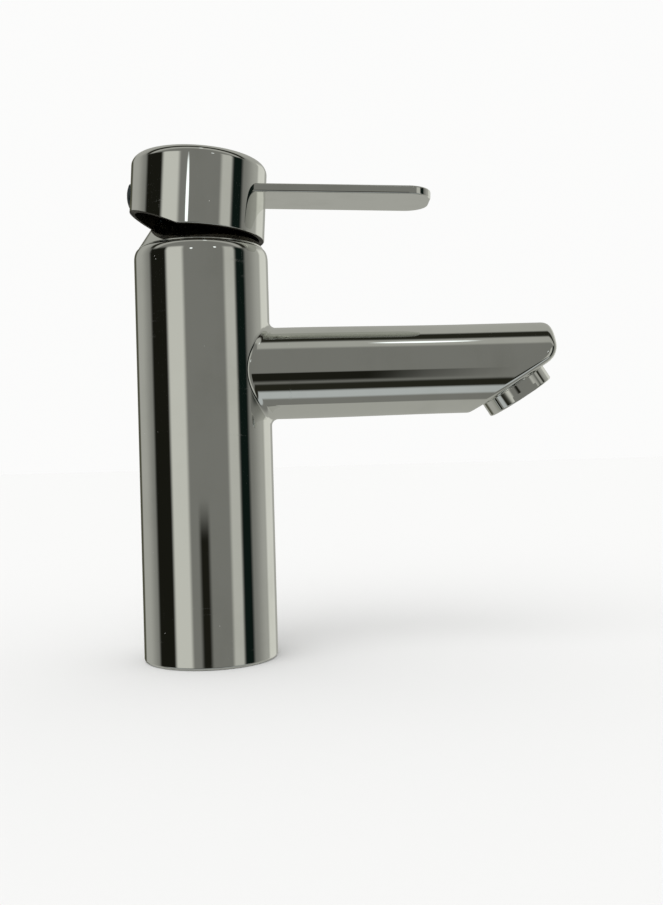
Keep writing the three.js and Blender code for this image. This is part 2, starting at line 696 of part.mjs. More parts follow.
function indexPlug() {
  const face = plugSeat - gap;
  const dome = arc(0, 0, plugRadius, plugDome, 0, 90, 4).map(([radius, rise]) => [radius, capBack - rise]);
  const profile = [[0, face + plugShankLength], [plugShank, face + plugShankLength], [plugShank, face],
    [plugRadius, face], ...dome];
  return moved(alongX(turned(profile, smallFacets)), 0, 0, screwLevel);
}
addMesh('index_plug', indexPlug(), darkPlastic, leverFrame);

// ---- Aerator, in the outlet's frame ----

const aeratorBore = aeratorThreadRadius - aeratorWall;
const lipLevel = -aeratorCollar - gap + aeratorLip;
const cupRadius = aeratorBore - gap;
const cupBottom = lipLevel + gap;
const cupTop = aeratorThreadLength - 0.9;
const screenTop = cupBottom + screenThickness;

function aeratorHousing() {
  const face = -aeratorCollar - gap;
  const chamfer = 0.5;
  const whole = turned([
    [aeratorBore, aeratorThreadLength], [aeratorBore, lipLevel], [aeratorBore - aeratorLip, lipLevel],
    [aeratorBore - aeratorLip, face], [aeratorRadius - chamfer, face], [aeratorRadius, face + chamfer],
    [aeratorRadius, -gap], [aeratorThreadRadius, -gap],
    [aeratorThreadRadius, aeratorThreadLength]], roundFacets);
  const flats = [-1, 1].map((side) => {
    const near = side * (aeratorRadius - flatDepth);
    const far = side * (aeratorRadius + overrun);
    const [y0, y1] = side < 0 ? [far, near] : [near, far];
    return block(-aeratorRadius, aeratorRadius, y0, y1, face - overrun, face + flatHeight);
  });
  return whole.subtract(join(flats));
}
addMesh('aerator_housing', aeratorHousing(), chrome, outletFrame);

// The outlet lattice: square windows in a disc, as many as its rim leaves room for.
function aeratorScreen() {
  const screenRadius = cupRadius - cupWall - gap;
  const plate = rod(screenRadius, cupBottom, screenTop, { segments: mediumFacets });
  const half = (screenPitch - screenBar) / 2;
  const count = Math.floor(screenRadius / screenPitch);
  const windows = [];
  for (let i = -count; i <= count; i += 1) {
    for (let k = -count; k <= count; k += 1) {
      const [x, y] = [i * screenPitch, k * screenPitch];
      const farCorner = Math.hypot(Math.abs(x) + half, Math.abs(y) + half);
      if (farCorner > screenRadius - screenBar) continue;
      windows.push(block(x - half, x + half, y - half, y + half, cupBottom - overrun, screenTop + overrun));
    }
  }
  return plate.subtract(join(windows));
}
addMesh('aerator_screen', aeratorScreen(), greyPlastic, outletFrame);

const jetLevel = cupTop - jetThickness - 0.6;
const jetShelf = jetLevel - gap;

function aeratorCup() {
  const inner = cupRadius - cupWall;
  return turned([
    [inner, cupBottom], [cupRadius, cupBottom], [cupRadius, cupTop], [inner, cupTop], [inner, jetShelf],
    [inner - 1.2, jetShelf], [inner - 1.2, jetShelf - 1.2], [inner, jetShelf - 1.2]]);
}
addMesh('aerator_cup', aeratorCup(), whitePlastic, outletFrame);

function jetPlate() {
  const plateRadius = cupRadius - cupWall - gap;
  const plate = rod(plateRadius, jetLevel, jetLevel + jetThickness);
  const jetCircle = plateRadius - 3;
  const jets = [];
  for (let i = 0; i < jetCount; i += 1) {
    const angle = (i / jetCount) * 2 * Math.PI;
    const at = { x: jetCircle * Math.cos(angle), y: jetCircle * Math.sin(angle), segments: 6 };
    jets.push(rod(jetRadius, jetLevel - overrun, jetLevel + jetThickness + overrun, at));
  }
  return plate.subtract(join(jets));
}
addMesh('aerator_jet_plate', jetPlate(), greyPlastic, outletFrame);

const gasketLow = aeratorThreadLength + gap;
const gasketInner = aeratorBore - aeratorLip - gap;
const gasketRing = ring(gasketInner, aeratorThreadRadius, gasketLow, gasketLow + aeratorGasket);
addMesh('aerator_gasket', gasketRing, rubber, outletFrame);

export default group;
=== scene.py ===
# Single-lever basin mixer in polished chrome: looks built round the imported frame.
import json
import math

import bmesh
import bpy
import numpy as np
from mathutils import Matrix, Vector


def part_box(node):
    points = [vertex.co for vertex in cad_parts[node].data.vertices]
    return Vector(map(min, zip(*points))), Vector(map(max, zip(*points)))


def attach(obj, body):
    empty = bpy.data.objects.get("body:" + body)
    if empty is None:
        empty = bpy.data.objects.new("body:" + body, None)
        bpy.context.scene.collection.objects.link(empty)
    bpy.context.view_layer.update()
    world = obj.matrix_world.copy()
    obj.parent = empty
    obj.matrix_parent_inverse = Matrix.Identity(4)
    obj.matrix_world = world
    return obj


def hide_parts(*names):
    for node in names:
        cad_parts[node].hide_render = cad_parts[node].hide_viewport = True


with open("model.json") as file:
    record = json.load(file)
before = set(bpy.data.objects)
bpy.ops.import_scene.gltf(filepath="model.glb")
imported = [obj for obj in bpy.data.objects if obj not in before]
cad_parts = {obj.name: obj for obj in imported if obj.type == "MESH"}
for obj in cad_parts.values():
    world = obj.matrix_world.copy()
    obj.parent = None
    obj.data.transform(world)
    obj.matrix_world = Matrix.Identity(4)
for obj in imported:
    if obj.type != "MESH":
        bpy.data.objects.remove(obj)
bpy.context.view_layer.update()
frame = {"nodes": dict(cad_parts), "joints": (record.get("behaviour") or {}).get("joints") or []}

mm = 0.001  # sizes below are in millimetres
print("frame loaded:", len(frame["nodes"]), "nodes")


def boxOf(node):
    low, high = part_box(node)
    return low / mm, high / mm


def turnAboutY(degrees):
    return Matrix.Rotation(math.radians(degrees), 4, "Y")


# ---- Meshes in patches, each with its own true normals ----

def roundedOutline(corners, closed=True, steps=6):
    # corners are (x, y, rounding), anticlockwise; gives stretches of (x, y, normal x, normal y)
    points = [Vector(c[:2]) for c in corners]
    rounds = [c[2] if len(c) > 2 else 0 for c in corners]
    count = len(points)
    stretches, starts, ends = [], {}, {}
    for i, point in enumerate(points):
        if not closed and i in (0, count - 1):
            starts[i] = ends[i] = point
            continue
        before = (point - points[i - 1]).normalized()
        after = (points[(i + 1) % count] - point).normalized()
        turn = before.angle_signed(after) * -1
        if rounds[i] == 0 or abs(turn) < 1e-4:
            starts[i] = ends[i] = point
            continue
        cut = rounds[i] * math.tan(abs(turn) / 2)
        side = 1 if turn > 0 else -1
        normal = Vector((before.y, -before.x))
        starts[i] = point - before * cut
        ends[i] = point + after * cut
        centre = starts[i] - normal * side * rounds[i]
        arc = []
        for k in range(steps + 1):
            angle = turn * k / steps
            c, s = math.cos(angle), math.sin(angle)
            way = Vector((c * normal.x - s * normal.y, s * normal.x + c * normal.y))
            spot = centre + way * side * rounds[i]
            arc.append((spot.x, spot.y, way.x, way.y))
        stretches.append((i, 0, arc))
    for i in range(count if closed else count - 1):
        a, b = ends[i], starts[(i + 1) % count]
        if (b - a).length < 1e-6:
            continue
        way = (b - a).normalized()
        row = [(p.x, p.y, way.y, -way.x) for p in (a, b)]
        stretches.append((i, 1, row))
    return [rows for _, _, rows in sorted(stretches, key=lambda s: s[:2])]


def patch(points, normals):
    points = np.asarray(points, float)
    normals = np.broadcast_to(np.asarray(normals, float), points.shape)
    rows, columns = points.shape[:2]
    index = np.arange(rows * columns).reshape(rows, columns)
    quads = np.stack([index[:-1, :-1], index[:-1, 1:], index[1:, 1:], index[1:, :-1]], -1)
    return points.reshape(-1, 3), normals.reshape(-1, 3), quads.reshape(-1, 4)


def flatFace(points, normal):
    points = np.asarray(points, float)
    return points, np.broadcast_to(np.asarray(normal, float), points.shape), [np.arange(len(points))]


def lathe(stretches, angles=None, segments=128):
    # turns (radius, height) stretches round Z
    if angles is None:
        angles = np.linspace(0, 2 * math.pi, segments + 1)
    c, s = np.cos(angles), np.sin(angles)
    flat = np.ones_like(c)
    patches = []
    for rows in stretches:
        points = [np.stack([r * c, r * s, z * flat], -1) for r, z, _, _ in rows]
        normals = [np.stack([nr * c, nr * s, nz * flat], -1) for _, _, nr, nz in rows]
        patches.append(patch(points, normals))
    return patches


def slab(corners, thickness, edge, steps=8):
    # a flat plate with a plan outline and rounded edges, centred on Z = 0
    plan = [p for rows in roundedOutline(corners, steps=24) for p in rows]
    plan = np.array(plan + plan[:1])
    half = thickness / 2
    section = roundedOutline([(-2 * edge, -half), (0, -half, edge), (0, half, edge), (-2 * edge, half)],
                             closed=False, steps=steps)
    outline, out = plan[:, :2], plan[:, 2:]
    patches = []
    for rows in section[1:-1]:
        points = [np.column_stack([outline + out * o, np.full(len(out), z)]) for o, z, _, _ in rows]
        normals = [np.column_stack([out * no, np.full(len(out), nz)]) for _, _, no, nz in rows]
        patches.append(patch(points, normals))
    for side in (-1, 1):
        face = np.column_stack([outline - out * edge, np.full(len(out), half * side)])[:-1]
        patches.append(flatFace(face, (0, 0, side)))
    return patches


def makeSolid(name, patches, place=Matrix.Identity(4)):
    points, corners, faces, start = [], [], [], 0
    for p, n, f in patches:
        for face in f:
            spots = p[face]
            across = np.cross(spots - spots[0], np.roll(spots, -1, 0) - spots[0]).sum(0)
            order = face if across @ n[face].sum(0) >= 0 else face[::-1]
            faces.append([int(i) + start for i in order])
            corners.append(n[order])
        points.append(p)
        start += len(p)
    turn = np.array(place.to_3x3())
    points = np.concatenate(points) @ turn.T + np.array(place.translation)
    mesh = bpy.data.meshes.new(name)
    mesh.from_pydata((points * mm).tolist(), [], faces)
    normals = np.concatenate(corners) @ turn.T
    kept = mesh.attributes.new("trueNormal", "FLOAT_VECTOR", "CORNER")
    kept.data.foreach_set("vector", normals.astype(np.float32).ravel())
    work = bmesh.new()
    work.from_mesh(mesh)
    bmesh.ops.remove_doubles(work, verts=work.verts, dist=0.0004 * mm)
    bmesh.ops.dissolve_degenerate(work, edges=work.edges, dist=0.0001 * mm)
    work.to_mesh(mesh)
    work.free()
    piece = bpy.data.objects.new(name, mesh)
    bpy.context.scene.collection.objects.link(piece)
    return piece


def rod(radius, low, high, x=0, y=0, segments=96):
    patches = lathe(roundedOutline([(0, low), (radius, low), (radius, high), (0, high)], closed=False),
                    segments=segments)
    return makeSolid("tool", patches, Matrix.Translation((x, y, 0)))


def block(low, high):
    lx, ly, lz = low
    hx, hy, hz = high
    corners = [(lx, ly), (hx, ly), (hx, hy), (lx, hy)]
    patches = [flatFace([(x, y, z) for x, y in corners], (0, 0, side)) for z, side in ((lz, -1), (hz, 1))]
    for i in range(4):
        (ax, ay), (bx, by) = corners[i], corners[(i + 1) % 4]
        wall = [(ax, ay, lz), (bx, by, lz), (bx, by, hz), (ax, ay, hz)]
        patches.append(flatFace(wall, (by - ay, ax - bx, 0) / np.hypot(by - ay, ax - bx)))
    return makeSolid("tool", patches)


def moved(piece, place):
    shift = place.copy()
    shift.translation = place.translation * mm
    piece.data.transform(shift)
    turn = np.array(place.to_3x3())
    kept = piece.data.attributes["trueNormal"].data
    normals = np.empty(len(kept) * 3, np.float32)
    kept.foreach_get("vector", normals)
    kept.foreach_set("vector", (normals.reshape(-1, 3) @ turn.T).astype(np.float32).ravel())
    return piece


def combine(piece, tools, operation="DIFFERENCE"):
    for tool in tools:
        step = piece.modifiers.new("step", "BOOLEAN")
        step.operation = operation
        step.solver = "EXACT"
        step.object = tool
        view = bpy.context.evaluated_depsgraph_get()
        result = bpy.data.meshes.new_from_object(piece.evaluated_get(view), depsgraph=view)
        piece.modifiers.clear()
        old = piece.data
        piece.data = result
        bpy.data.meshes.remove(old)
    for tool in tools:
        bpy.data.objects.remove(tool)
    return piece


def setNormals(piece, sharpAngle=30):
    # true normals where a corner has one that agrees with its face, smooth ones elsewhere
    mesh = piece.data
    mesh.name = piece.name
    mesh.shade_smooth()
    mesh.set_sharp_from_angle(angle=math.radians(sharpAngle))
    loops = len(mesh.loops)
    kept = np.empty(loops * 3, np.float32)
    mesh.attributes["trueNormal"].data.foreach_get("vector", kept)
    kept = kept.reshape(-1, 3)
    smooth = np.empty(loops * 3, np.float32)
    mesh.corner_normals.foreach_get("vector", smooth)
    smooth = smooth.reshape(-1, 3)
    faces = np.empty(len(mesh.polygons) * 3, np.float32)
    mesh.polygon_normals.foreach_get("vector", faces)
    totals = np.empty(len(mesh.polygons), np.int32)
    mesh.polygons.foreach_get("loop_total", totals)
    own = np.repeat(faces.reshape(-1, 3), totals, 0)
    length = np.linalg.norm(kept, axis=1)
    kept = kept / np.maximum(length, 1e-6)[:, None]
    agree = (kept * own).sum(1)
    kept = np.where(agree[:, None] < 0, -kept, kept)
    good = (length > 0.5) & (np.abs(agree) > 0.85)
    normals = np.where(good[:, None], kept, smooth)
    print("  ", piece.name, len(mesh.polygons), "faces,", round(float(good.mean()), 3), "true normals")
    mesh.attributes.remove(mesh.attributes["trueNormal"])
    mesh.normals_split_custom_set(normals.tolist())
    return piece


# ---- Camera and studio ----

cameraPlace = {
    "at": (39.5, -328.7, 67.1), "lens": 38.4,
    "yaw": 0.52, "pitch": 0.17, "roll": -1.55,  # degrees
}


def makeCamera(place):
    yaw, pitch, roll = (math.radians(place[k]) for k in ("yaw", "pitch", "roll"))
    ahead = Vector((math.sin(yaw) * math.cos(pitch), math.cos(yaw) * math.cos(pitch), math.sin(pitch)))
    right = Vector((math.cos(yaw), -math.sin(yaw), 0))
    up = right.cross(ahead)
    across = right * math.cos(roll) + up * math.sin(roll)
    above = up * math.cos(roll) - right * math.sin(roll)
    data = bpy.data.cameras.new("camera")
    data.lens = place["lens"]
    data.clip_start = 0.01
    camera = bpy.data.objects.new("camera", data)
    turn = Matrix((across, above, -ahead)).transposed().to_4x4()
    camera.matrix_world = Matrix.Translation(Vector(place["at"]) * mm) @ turn
    bpy.context.scene.collection.objects.link(camera)
    bpy.context.scene.camera = camera


makeCamera(cameraPlace)
print("camera ready")


def add(tree, kind, **values):
    # a node with its properties set by name
    node = tree.nodes.new(kind)
    for key, value in values.items():
        if hasattr(node, key):
            setattr(node, key, value)
    return node


def feed(tree, node, socket, value):
    if isinstance(value, bpy.types.NodeSocket):
        tree.links.new(value, node.inputs[socket])
    else:
        node.inputs[socket].default_value = value


def sums(tree, operation, *values, clamp=False):
    node = add(tree, "ShaderNodeMath", operation=operation, use_clamp=clamp)
    for i, value in enumerate(values):
        feed(tree, node, i, value)
    return node.outputs[0]


def ranged(tree, value, low, high, outLow=0.0, outHigh=1.0, smooth=True):
    node = add(tree, "ShaderNodeMapRange", interpolation_type="SMOOTHSTEP" if smooth else "LINEAR")
    for i, v in enumerate((value, low, high, outLow, outHigh)):
        feed(tree, node, i, v)
    return node.outputs[0]


def blended(tree, share, first, second, mode="MIX"):
    node = add(tree, "ShaderNodeMix", data_type="RGBA", blend_type=mode)
    feed(tree, node, 0, share)
    feed(tree, node, 6, first)
    feed(tree, node, 7, second)
    return node.outputs[2]


# A plain studio that only reflections see: a grey room, a few soft cards and flags, and small lamps.
# Brightness 1 is a lit white card, and angles are in degrees.
studio = {
    "backdrop": 0.97, "floorTone": 0.78, "keySun": 1.1, "keyAngle": 60,
    "tints": {
        "card": (1.0, 1.0, 0.92), "green": (0.5, 1.0, 0.8),
        "black": (1.0, 1.0, 0.7), "cool": (0.95, 1.0, 1.0),
    },
    "frontTone": 0.2, "backTone": 0.4, "softEdge": 4,
    # upright panels: round from the camera's side towards the spout, half width, brightness, tint
    "uprights": [
        (-70, 20, 0.01, "black"), (-40, 15, 0.6, "card"), (55, 10, 0.5, "card"), (75, 10, 0.01, "green"),
        (140, 15, 0.7, "card"), (-150, 10, 0.08, "black"),
    ],
    # long panels beside the spout: up from the camera's side and over the top, half width, brightness, tint
    "longs": [
        (70, 10, 0.4, "card"), (90, 10, 0.02, "black"), (-40, 10, 0.02, "black"), (-60, 10, 0.5, "cool"),
    ],
    "standHalf": 8, "standTop": -2, "standTone": 0.012,  # the dark camera stand
    "lamps": [(-10, 15), (30, 20), (20, 70)], "lampHalf": 3, "lampBright": 1.5,  # round and up
    "steepFrom": 20.0, "steepTo": 30.0,  # the uprights give way to the long panels between these
    "behindFrom": 85.0, "behindTo": 120.0,
}


def windowMask(tree, value, low, high, soft):
    rises = ranged(tree, value, low - soft, low + soft)
    falls = ranged(tree, value, high - soft, high + soft, 1.0, 0.0)
    return sums(tree, "MULTIPLY", rises, falls)


def tinted(bright, tint):
    return tuple(bright * t for t in studio["tints"][tint]) + (1,)


def hangPanels(tree, room, angle, panels, share):
    for at, half, bright, tint in panels:
        mask = windowMask(tree, angle, at - half, at + half, studio["softEdge"])
        room = blended(tree, sums(tree, "MULTIPLY", mask, share), room, tinted(bright, tint))
    return room


def hangLamp(tree, room, way, at, level, half, bright):
    a, e = math.radians(at), math.radians(level)
    aim = add(tree, "ShaderNodeVectorMath", operation="DOT_PRODUCT")
    feed(tree, aim, 0, way)
    feed(tree, aim, 1, (math.sin(a) * math.cos(e), -math.cos(a) * math.cos(e), math.sin(e)))
    lit = ranged(tree, aim.outputs["Value"], math.cos(math.radians(half)), math.cos(math.radians(half / 2)))
    return blended(tree, lit, room, tinted(bright, "cool"))


def makeWorld():
    world = bpy.data.worlds.new("studio")
    bpy.context.scene.world = world
    world.use_nodes = True
    tree = world.node_tree
    tree.nodes.clear()
    way = add(tree, "ShaderNodeTexCoord").outputs["Generated"]
    parts = add(tree, "ShaderNodeSeparateXYZ")
    feed(tree, parts, 0, way)
    x, y, z = parts.outputs
    nearY = sums(tree, "MULTIPLY", y, -1.0)
    turn = sums(tree, "DEGREES", sums(tree, "ARCTAN2", x, nearY))
    rise = sums(tree, "DEGREES", sums(tree, "ARCTAN2", z, nearY))
    up = sums(tree, "DEGREES", sums(tree, "ARCSINE", z))
    steep = ranged(tree, sums(tree, "ABSOLUTE", up), studio["steepFrom"], studio["steepTo"])
    level = sums(tree, "SUBTRACT", 1.0, steep)
    behind = ranged(tree, sums(tree, "ABSOLUTE", turn), studio["behindFrom"], studio["behindTo"])
    room = blended(tree, behind, tinted(studio["frontTone"], "card"), tinted(studio["backTone"], "card"))
    room = hangPanels(tree, room, turn, studio["uprights"], level)
    room = hangPanels(tree, room, rise, studio["longs"], steep)
    below = ranged(tree, up, studio["standTop"] - 3, studio["standTop"], 1.0, 0.0)
    stand = [(0, studio["standHalf"], studio["standTone"], "black")]
    room = hangPanels(tree, room, turn, stand, sums(tree, "MULTIPLY", below, level))
    for at, high in studio["lamps"]:
        room = hangLamp(tree, room, way, at, high, studio["lampHalf"], studio["lampBright"])
    light = add(tree, "ShaderNodeLightPath")
    plain = add(tree, "ShaderNodeBackground")
    feed(tree, plain, 0, (1.0, 1.0, 0.995, 1))
    feed(tree, plain, 1, studio["backdrop"])
    shown = add(tree, "ShaderNodeBackground")
    feed(tree, shown, 0, room)
    mixed = add(tree, "ShaderNodeMixShader")
    feed(tree, mixed, 0, light.outputs["Is Glossy Ray"])
    feed(tree, mixed, 1, plain.outputs[0])
    feed(tree, mixed, 2, shown.outputs[0])
    out = add(tree, "ShaderNodeOutputWorld")
    feed(tree, out, 0, mixed.outputs[0])


def makeFloor():
    mesh = bpy.data.meshes.new("floor")
    reach = 6
    mesh.from_pydata([(-reach, -reach, 0), (reach, -reach, 0), (reach, reach, 0), (-reach, reach, 0)], [],
                     [(0, 1, 2, 3)])
    floor = bpy.data.objects.new("floor", mesh)
    floor.location.z = -0.0002
    floor.visible_glossy = False
    bpy.context.scene.collection.objects.link(floor)
    material = bpy.data.materials.new("paleFloor")
    material.use_nodes = True
    shader = material.node_tree.nodes["Principled BSDF"]
    tone = studio["floorTone"]
    shader.inputs["Base Color"].default_value = (tone, tone, tone * 0.995, 1)
    shader.inputs["Roughness"].default_value = 0.9
    shader.inputs["Specular IOR Level"].default_value = 0
    mesh.materials.append(material)


def makeKey():
    data = bpy.data.lights.new("key", "SUN")
    data.energy = studio["keySun"]
    data.angle = math.radians(studio["keyAngle"])
    key = bpy.data.objects.new("key", data)
    key.rotation_euler = (math.radians(38), math.radians(-22), 0)
    key.visible_glossy = False
    bpy.context.scene.collection.objects.link(key)


makeWorld()
makeFloor()
makeKey()
bpy.context.scene.view_settings.view_transform = "Standard"
print("studio ready")


# ---- Surface effects shared by the materials ----

def makeGroup(name, inputs, outputs):
    group = bpy.data.node_groups.new(name, "ShaderNodeTree")
    for label, value in inputs.items():
        kind = "NodeSocketVector" if value is None else "NodeSocketFloat"
        socket = group.interface.new_socket(label, in_out="INPUT", socket_type=kind)
        if value is not None:
            socket.default_value = value
    for label in outputs:
        group.interface.new_socket(label, in_out="OUTPUT", socket_type="NodeSocketFloat")
    return group, add(group, "NodeGroupInput").outputs, add(group, "NodeGroupOutput").inputs


def noise(tree, vector, scale, detail=2.0, roughness=0.5):
    node = add(tree, "ShaderNodeTexNoise")
    for socket, value in (("Vector", vector), ("Scale", scale), ("Detail", detail), ("Roughness", roughness)):
        feed(tree, node, socket, value)
    return node.outputs["Fac"]


def stretched(tree, vector, scale):
    node = add(tree, "ShaderNodeVectorMath", operation="MULTIPLY")
    feed(tree, node, 0, vector)
    feed(tree, node, 1, scale)
    return node.outputs[0]


def buffedRipple():
    # slow waves that a buffing wheel leaves under the plating
    group, given, out = makeGroup("buffedRipple", {"Place": None, "Scale": 30.0}, ["Height"])
    slow = noise(group, given["Place"], given["Scale"], 2.0)
    fine = noise(group, given["Place"], sums(group, "MULTIPLY", given["Scale"], 6.0), 1.0)
    total = sums(group, "ADD", slow, sums(group, "MULTIPLY", fine, 0.06))
    group.links.new(total, out["Height"])
    return group


def hairScratches():
    # short fine scratches lying in two directions
    group, given, out = makeGroup("hairScratches", {"Place": None, "Scale": 1.0, "Amount": 0.3}, ["Mask"])
    found = []
    for ways in ((900.0, 60.0, 40.0), (50.0, 80.0, 1100.0)):
        line = noise(group, stretched(group, given["Place"], ways), given["Scale"], 1.0)
        where = noise(group, given["Place"], 90.0, 2.0)
        found.append(sums(group, "MULTIPLY", ranged(group, line, 0.66, 0.74), ranged(group, where, 0.5, 0.62)))
    total = sums(group, "MAXIMUM", *found)
    group.links.new(sums(group, "MULTIPLY", total, given["Amount"]), out["Mask"])
    return group


def wipedFilm():
    # the thin cloudy film that a cloth leaves
    inputs = {"Place": None, "Scale": 40.0, "Low": 0.45, "High": 0.75}
    group, given, out = makeGroup("wipedFilm", inputs, ["Mask"])
    cloud = noise(group, given["Place"], given["Scale"], 5.0, 0.62)
    half = sums(group, "MULTIPLY", given["Scale"], 0.5)
    swipe = noise(group, stretched(group, given["Place"], (6.0, 6.0, 1.0)), half, 3.0)
    both = sums(group, "ADD", sums(group, "MULTIPLY", cloud, 0.65), sums(group, "MULTIPLY", swipe, 0.35))
    group.links.new(ranged(group, both, given["Low"], given["High"]), out["Mask"])
    return group


def dustSpecks():
    # single grains, a few tenths of a millimetre across
    group, given, out = makeGroup("dustSpecks", {"Place": None, "Spacing": 3.2, "Size": 0.06}, ["Mask"])
    cells = add(group, "ShaderNodeTexVoronoi", feature="F1")
    feed(group, cells, "Vector", given["Place"])
    feed(group, cells, "Scale", sums(group, "DIVIDE", 1000.0, given["Spacing"]))
    parts = add(group, "ShaderNodeSeparateColor")
    feed(group, parts, 0, cells.outputs["Color"])
    size = sums(group, "MULTIPLY", given["Size"], parts.outputs[0])
    speck = sums(group, "LESS_THAN", cells.outputs["Distance"], size)
    chosen = sums(group, "GREATER_THAN", parts.outputs[1], 0.55)
    group.links.new(sums(group, "MULTIPLY", speck, chosen), out["Mask"])
    return group


def moulded():
    # fine grain of a moulded or cast face
    group, given, out = makeGroup("mouldedGrain", {"Place": None, "Scale": 2500.0}, ["Height", "Mask"])
    grain = noise(group, given["Place"], given["Scale"], 2.0)
    flow = noise(group, given["Place"], sums(group, "MULTIPLY", given["Scale"], 0.05), 3.0)
    group.links.new(grain, out["Height"])
    group.links.new(ranged(group, flow, 0.35, 0.7), out["Mask"])
    return group


def turnedRings():
    # tool marks left by a lathe, rings along Z
    group, given, out = makeGroup("turnedRings", {"Place": None, "Pitch": 0.25}, ["Height", "Mask"])
    parts = add(group, "ShaderNodeSeparateXYZ")
    feed(group, parts, 0, given["Place"])
    x, y, z = parts.outputs
    squares = sums(group, "ADD", sums(group, "POWER", x, 2.0), sums(group, "POWER", y, 2.0))
    depth = sums(group, "ADD", z, sums(group, "SQRT", squares))
    wave = sums(group, "SINE", sums(group, "DIVIDE", sums(group, "MULTIPLY", depth, 6283.0), given["Pitch"]))
    stain = noise(group, given["Place"], 140.0, 4.0)
    group.links.new(ranged(group, wave, -1.0, 1.0, smooth=False), out["Height"])
    group.links.new(ranged(group, stain, 0.4, 0.65), out["Mask"])
    return group


effects = {name: make() for name, make in {
    "ripple": buffedRipple, "scratches": hairScratches, "film": wipedFilm, "dust": dustSpecks,
    "grain": moulded, "rings": turnedRings}.items()}


def place(tree, effect, **values):
    node = add(tree, "ShaderNodeGroup", node_tree=effects[effect])
    for label, value in values.items():
        feed(tree, node, label, value)
    return node.outputs


def newMaterial(name):
    material = bpy.data.materials.new(name)
    material.use_nodes = True
    tree = material.node_tree
    shader = tree.nodes["Principled BSDF"]
    return material, tree, shader, add(tree, "ShaderNodeTexCoord").outputs["Object"]


def bump(tree, shader, height, depth, under=None):
    # depth in millimetres for a height of 1
    node = add(tree, "ShaderNodeBump")
    feed(tree, node, "Height", height)
    feed(tree, node, "Distance", depth * mm)
    node.inputs["Strength"].default_value = 1.0
    if under is not None:
        feed(tree, node, "Normal", under)
    tree.links.new(node.outputs[0], shader.inputs["Normal"])
    return node.outputs[0]


chromeLook = {
    "bright": (0.80, 0.81, 0.78), "hazed": (0.73, 0.74, 0.705), "dust": (0.42, 0.42, 0.40),
    "roughness": 0.012, "filmRoughness": 0.035, "scratchRoughness": 0.12,
    "rippleScale": 34.0, "rippleDepth": 0.03, "dustSpacing": 3.0, "dustSize": 0.05,
}


def makeChrome(name, look):
    material, tree, shader, where = newMaterial(name)
    film = place(tree, "film", Place=where, Scale=38.0)["Mask"]
    scratches = place(tree, "scratches", Place=where, Scale=1.0, Amount=1.0)["Mask"]
    dust = place(tree, "dust", Place=where, Spacing=look["dustSpacing"], Size=look["dustSize"])["Mask"]
    ripple = place(tree, "ripple", Place=where, Scale=look["rippleScale"])["Height"]
    metal = blended(tree, film, (*look["bright"], 1), (*look["hazed"], 1))
    feed(tree, shader, "Base Color", blended(tree, dust, metal, (*look["dust"], 1)))
    feed(tree, shader, "Metallic", sums(tree, "SUBTRACT", 1.0, dust))
    rough = sums(tree, "ADD", look["roughness"], sums(tree, "MULTIPLY", film, look["filmRoughness"]))
    rough = sums(tree, "MAXIMUM", rough, sums(tree, "MULTIPLY", scratches, look["scratchRoughness"]))
    feed(tree, shader, "Roughness", sums(tree, "MAXIMUM", rough, sums(tree, "MULTIPLY", dust, 0.8)))
    waves = bump(tree, shader, ripple, look["rippleDepth"])
    bump(tree, shader, scratches, 0.0006, under=waves)
    return material


# colour, second colour, metallic, roughness low and high, effect and its depth in millimetres
plainLooks = {
    "rubber": ((0.012, 0.012, 0.013), (0.03, 0.03, 0.031), 0.0, 0.55, 0.8, "grain", 0.02),
    "brass": ((0.62, 0.44, 0.17), (0.42, 0.27, 0.09), 1.0, 0.22, 0.45, "rings", 0.008),
    "steel": ((0.55, 0.55, 0.56), (0.38, 0.38, 0.39), 1.0, 0.2, 0.4, "rings", 0.005),
    "grey_plastic": ((0.16, 0.17, 0.18), (0.12, 0.13, 0.135), 0.0, 0.38, 0.55, "grain", 0.012),
    "white_plastic": ((0.72, 0.70, 0.65), (0.62, 0.60, 0.55), 0.0, 0.35, 0.5, "grain", 0.01),
    "ceramic": ((0.86, 0.84, 0.79), (0.80, 0.78, 0.72), 0.0, 0.08, 0.2, "grain", 0.002),
    # the unplated inside of the castings: rough and part metallic as it really is, while its near-black tone
    # is painted shade for the hollows and bores it covers
    "raw_casting_painted_shade": ((0.05, 0.043, 0.03), (0.025, 0.022, 0.018), 0.6, 0.45, 0.7, "grain", 0.03),
    "plug_plastic": ((0.006, 0.009, 0.010), (0.02, 0.028, 0.03), 0.0, 0.12, 0.3, "grain", 0.004),
}


def makePlain(name, colour, second, metallic, low, high, effect, depth):
    material, tree, shader, where = newMaterial(name)
    found = place(tree, effect, Place=where)
    dust = place(tree, "dust", Place=where, Spacing=2.6, Size=0.07)["Mask"]
    base = blended(tree, found["Mask"], (*colour, 1), (*second, 1))
    feed(tree, shader, "Base Color", blended(tree, dust, base, (0.6, 0.6, 0.58, 1)))
    shader.inputs["Metallic"].default_value = metallic
    rough = ranged(tree, found["Mask"], 0.0, 1.0, low, high, smooth=False)
    feed(tree, shader, "Roughness", sums(tree, "MAXIMUM", rough, sums(tree, "MULTIPLY", dust, 0.9)))
    bump(tree, shader, found["Height"], depth)
    return material


finishes = {slot: makePlain(slot, *look) for slot, look in plainLooks.items()}
for slot in ("chrome_body", "chrome_bonnet", "chrome_handle", "chrome_aerator"):
    finishes[slot] = makeChrome(slot, chromeLook)
print("finishes ready:", len(finishes))


def finish(piece, slot, body, *nodes, inner=None, isInner=None):
    # inner is a second finish for the faces that isInner picks by their middle and normal, in millimetres
    piece.data.materials.clear()
    piece.data.materials.append(finishes[slot])
    if inner:
        piece.data.materials.append(finishes[inner])
        for face in piece.data.polygons:
            face.material_index = int(isInner(face.center / mm, face.normal))
    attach(piece, body)
    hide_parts(*nodes)


# ---- Body casting: column, spout, fillet and end edge ----

